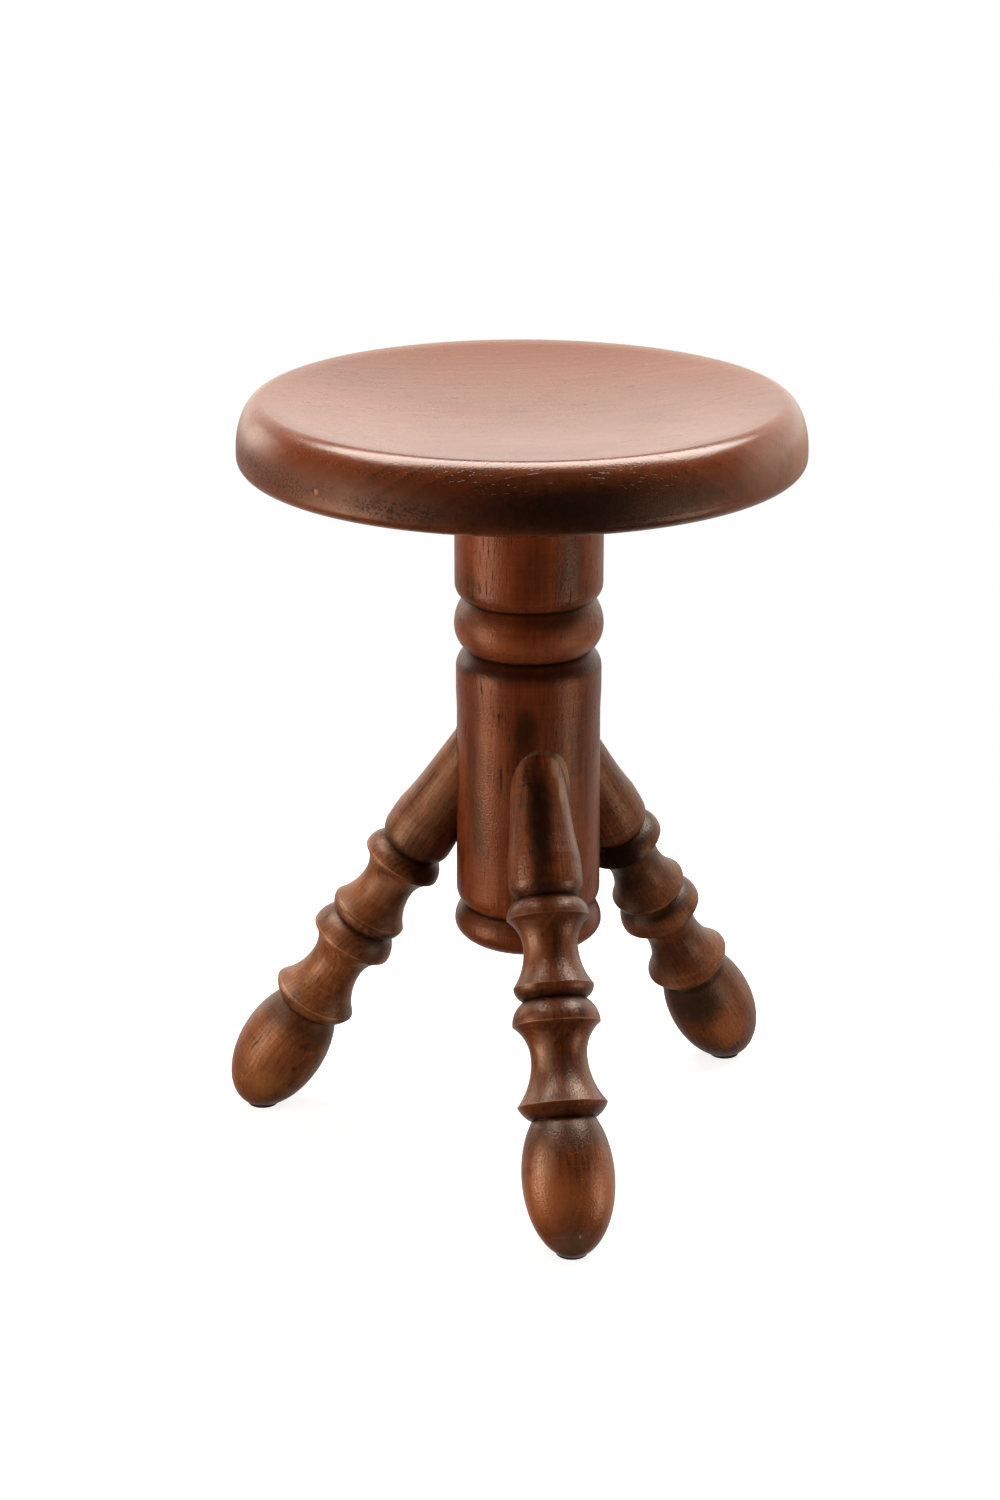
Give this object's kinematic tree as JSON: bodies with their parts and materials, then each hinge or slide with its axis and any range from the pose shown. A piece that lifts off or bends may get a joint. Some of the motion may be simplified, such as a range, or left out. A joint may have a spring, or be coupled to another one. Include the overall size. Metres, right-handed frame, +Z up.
{
  "type": "tripod stool",
  "caption": "Low turned wooden stool: a thick round dished seat on a beaded column, with splayed ring-turned legs ending in egg-shaped feet.",
  "frame": {"origin": "on the floor, straight below the column's axis, which is where the stool stands", "axes": "+Z up along the column's axis, -Y towards the front leg, +X to the right seen from the front"},
  "size_m": [0.3336, 0.3461, 0.4522],
  "materials": {
    "seat_wood": "walnut-brown stain under satin lacquer",
    "column_wood": "walnut-brown stain under satin lacquer",
    "leg_wood": "walnut-brown stain under satin lacquer",
    "wedge_wood": "bare planed hardwood",
    "glide_rubber": "matt black",
    "nail_steel": "plain steel"
  },
  "bodies": {
    "root": {"seat": "seat_wood", "column": "column_wood", "leg_front": "leg_wood", "leg_left": "leg_wood", "leg_right": "leg_wood", "seat_wedge": "wedge_wood", "leg_wedges": "wedge_wood", "glide_front": "glide_rubber", "glide_left": "glide_rubber", "glide_right": "glide_rubber", "glide_nails": "nail_steel"}
  },
  "joints": []
}
